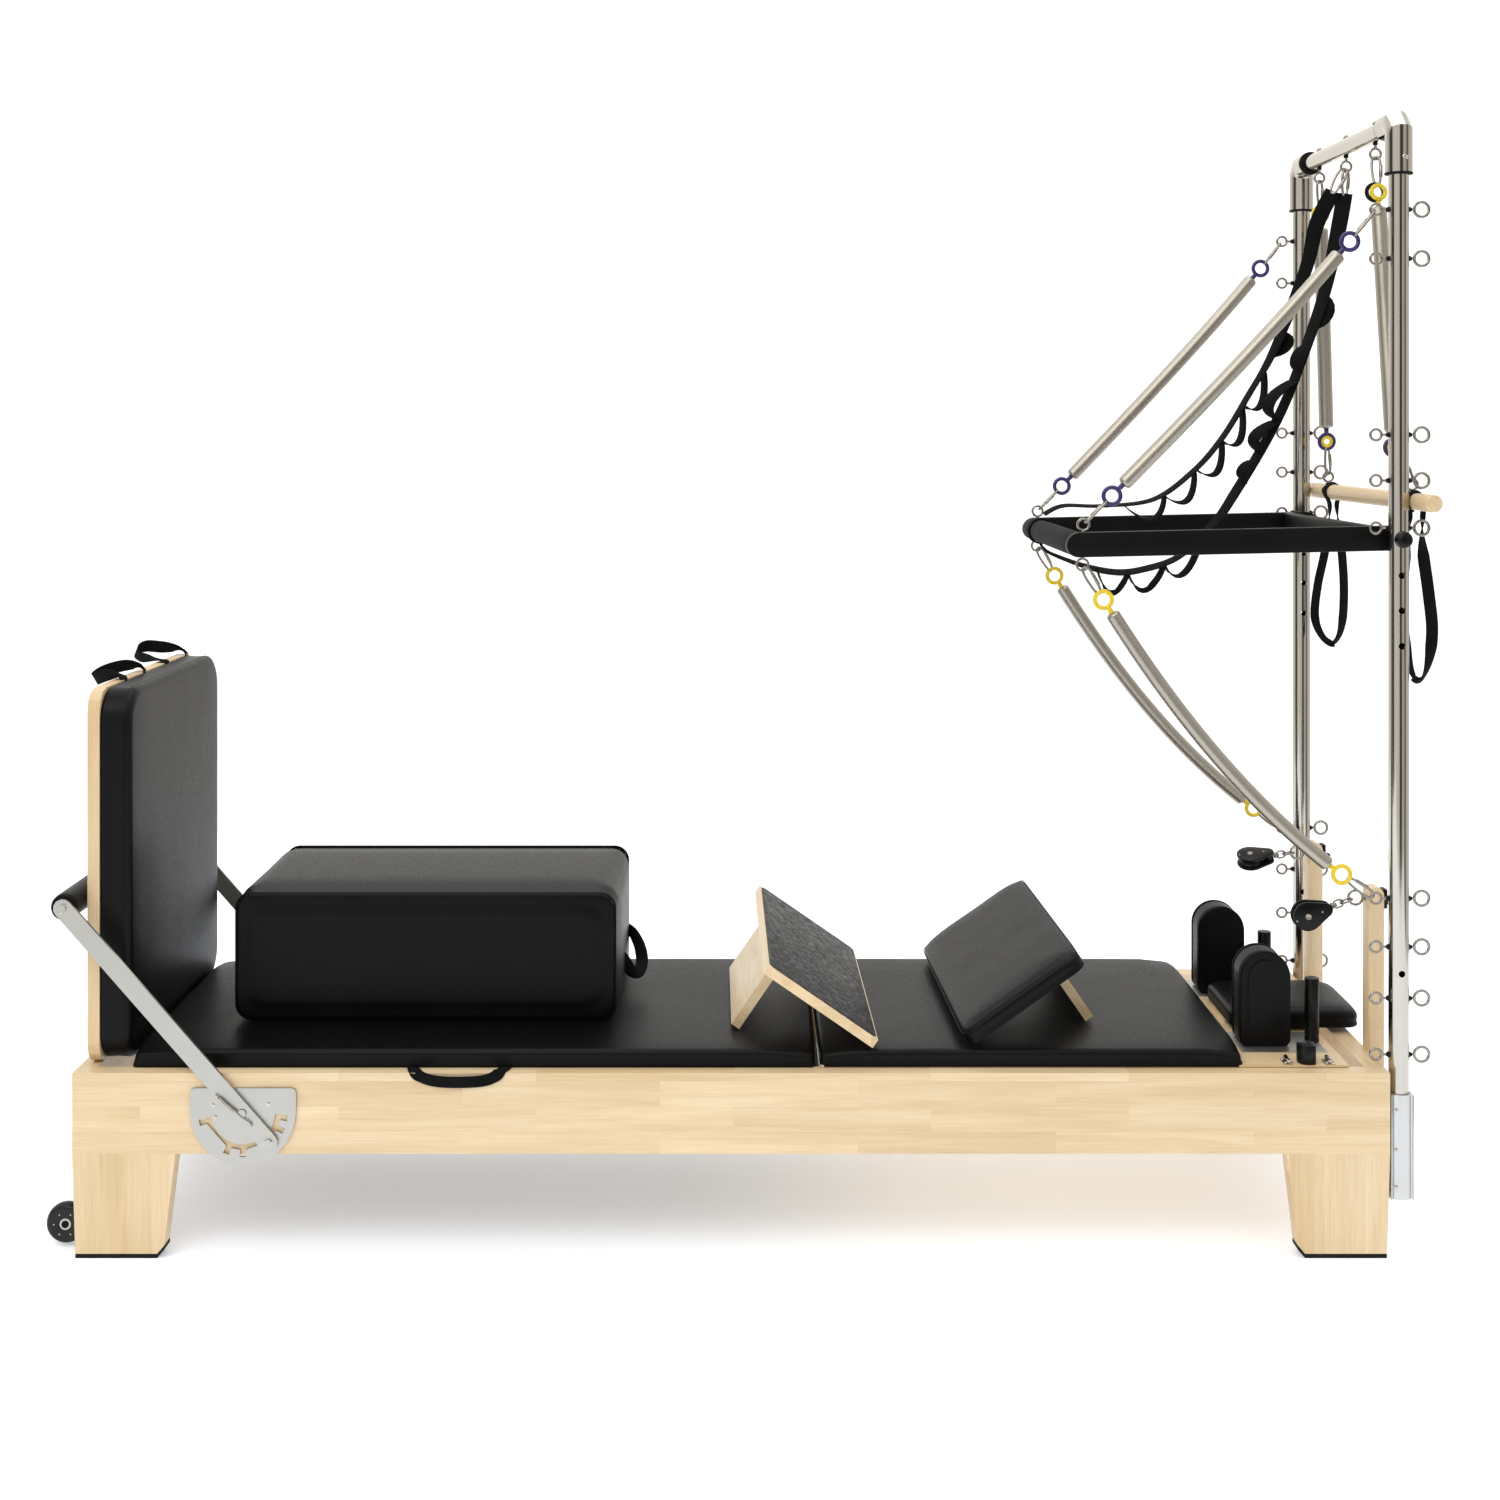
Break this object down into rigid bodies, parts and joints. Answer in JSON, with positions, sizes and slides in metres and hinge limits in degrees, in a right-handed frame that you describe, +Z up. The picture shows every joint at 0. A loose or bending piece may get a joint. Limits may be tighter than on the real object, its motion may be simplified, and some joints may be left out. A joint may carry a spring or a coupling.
{
  "type": "pilates tower unit",
  "caption": "Wooden pilates reformer with padded mat and carriage, footbar, jump board, sitting box, inclines and a tube half tower with springs, push-through bar and roll-down bar.",
  "frame": {"origin": "on the floor, under the middle of the whole unit's box", "axes": "+X along the frame from the foot end to the tower end, +Y across it from the near side to the far side, +Z up"},
  "size_m": [2.5404, 0.78, 2.0955],
  "materials": {
    "maple": "satin lacquer over finger-jointed strips",
    "vinyl": "fine-grained black vinyl",
    "rubber": "matte",
    "wheel_tyre": "satin",
    "black_plastic": "satin",
    "black_metal": "matte powder coat",
    "grip_foam": "matte foam",
    "webbing": "woven",
    "chrome": "polished",
    "brushed_steel": "brushed",
    "spring_steel": "drawn wire",
    "aluminium": "anodised",
    "ring_purple": "dipped",
    "ring_yellow": "dipped",
    "grit_cover": "pebbled non-slip sheet",
    "thread": "stitched"
  },
  "bodies": {
    "frame": {"side_frame_near": "maple", "side_frame_far": "maple", "foot_pad_near_foot": "rubber", "foot_pad_near_tower": "rubber", "foot_pad_far_foot": "rubber", "foot_pad_far_tower": "rubber", "track_near": "aluminium", "track_far": "aluminium", "end_board_foot": "maple", "end_board_tower": "maple", "spring_bar": "brushed_steel", "wheel_bracket_near": "black_metal", "wheel_bracket_far": "black_metal", "quadrant_near": "brushed_steel", "quadrant_far": "brushed_steel", "upright_near": "chrome", "upright_far": "chrome", "socket_near": "aluminium", "socket_far": "aluminium", "elbow_near": "chrome", "elbow_far": "chrome", "crossbar": "chrome", "riser_near": "maple", "riser_far": "maple", "arm_spring_near": "spring_steel", "arm_spring_far": "spring_steel", "leg_spring_near": "spring_steel", "leg_spring_far": "spring_steel", "hanging_spring_near": "spring_steel", "hanging_spring_far": "spring_steel", "multi_loop_strap_upper": "webbing", "multi_loop_strap_lower": "webbing"},
    "wheel_near": {"transport_wheel_near": "wheel_tyre"},
    "wheel_far": {"transport_wheel_far": "wheel_tyre"},
    "footbar": {"footbar_arm_near": "brushed_steel", "footbar_arm_far": "brushed_steel", "footbar_grip": "vinyl"},
    "jump_board": {"jump_board_panel": "maple", "jump_board_pad": "vinyl"},
    "mat": {"mat_board": "maple", "mat_cushion": "vinyl"},
    "box": {"sitting_box": "vinyl"},
    "slant_board": {"slant_board": "maple", "slant_board_leg": "maple"},
    "carriage": {"carriage_platform": "maple", "carriage_cushion": "vinyl", "shoulder_rest_near": "vinyl", "shoulder_rest_far": "vinyl", "strap_post_near": "black_plastic", "strap_post_far": "black_plastic"},
    "headrest": {"headrest": "vinyl"},
    "wedge": {"wedge_cushion": "vinyl", "wedge_leg": "maple"},
    "push_bar": {"push_bar_arm_near": "black_metal", "push_bar_arm_far": "black_metal", "push_bar_grip": "grip_foam", "push_bar_brace": "black_metal"},
    "roll_down": {"roll_down_bar": "maple"},
    "pulley_near": {"pulley_near": "black_plastic"},
    "pulley_far": {"pulley_far": "black_plastic"}
  },
  "joints": [
    {"name": "wheel_near_spin", "type": "hinge", "parent": "frame", "child": "wheel_near", "pos_m": [-1.23328, -0.271, 0.042], "axis": [0, 1, 0], "continuous": true},
    {"name": "wheel_far_spin", "type": "hinge", "parent": "frame", "child": "wheel_far", "pos_m": [-1.23328, 0.271, 0.042], "axis": [0, 1, 0], "continuous": true},
    {"name": "footbar_swing", "type": "hinge", "parent": "frame", "child": "footbar", "pos_m": [-0.89178, 0, 0.268], "axis": [0, -1, 0], "range_deg": [0, 40.7]},
    {"name": "push_bar_swing", "type": "hinge", "parent": "frame", "child": "push_bar", "pos_m": [1.21972, 0, 1.308], "axis": [0, 1, 0], "range_deg": [-60, 60], "stiffness_Nm_per_rad": 150, "springref_deg": 12.61, "deforming": ["arm_spring_near", "arm_spring_far", "leg_spring_near", "leg_spring_far", "multi_loop_strap_upper", "multi_loop_strap_lower"]},
    {"name": "roll_down_pull", "type": "slide", "parent": "frame", "child": "roll_down", "axis": [0.8, 0, -0.6], "range_m": [0, 0.3], "stiffness_N_per_m": 400, "springref_m": -0.012, "deforming": ["hanging_spring_near", "hanging_spring_far"]},
    {"name": "pulley_near_swivel", "type": "hinge", "parent": "frame", "child": "pulley_near", "pos_m": [1.16402, -0.1905, 0.622], "axis": [0, 0, 1], "range_deg": [-35, 35]},
    {"name": "pulley_far_swivel", "type": "hinge", "parent": "frame", "child": "pulley_far", "pos_m": [1.16402, 0.1905, 0.622], "axis": [0, 0, 1], "range_deg": [-35, 35]},
    {"name": "carriage_slide", "type": "slide", "parent": "frame", "child": "carriage", "axis": [1, 0, 0], "range_m": [-0.006, 0.028]},
    {"name": "headrest_tilt", "type": "hinge", "parent": "carriage", "child": "headrest", "pos_m": [0.96372, 0, 0.34815], "axis": [0, -1, 0], "range_deg": [0, 30]},
    {"name": "wedge_lift", "type": "slide", "parent": "carriage", "child": "wedge", "axis": [0, 0, 1], "range_m": [0, 0.3]},
    {"name": "mat_lift", "type": "slide", "parent": "frame", "child": "mat", "axis": [0, 0, 1], "range_m": [0, 0.25]},
    {"name": "box_lift", "type": "slide", "parent": "mat", "child": "box", "axis": [0, 0, 1], "range_m": [0, 0.3]},
    {"name": "slant_board_lift", "type": "slide", "parent": "mat", "child": "slant_board", "axis": [0, 0, 1], "range_m": [0, 0.3]},
    {"name": "jump_board_lift", "type": "slide", "parent": "frame", "child": "jump_board", "axis": [0, 0, 1], "range_m": [0, 0.2]}
  ]
}
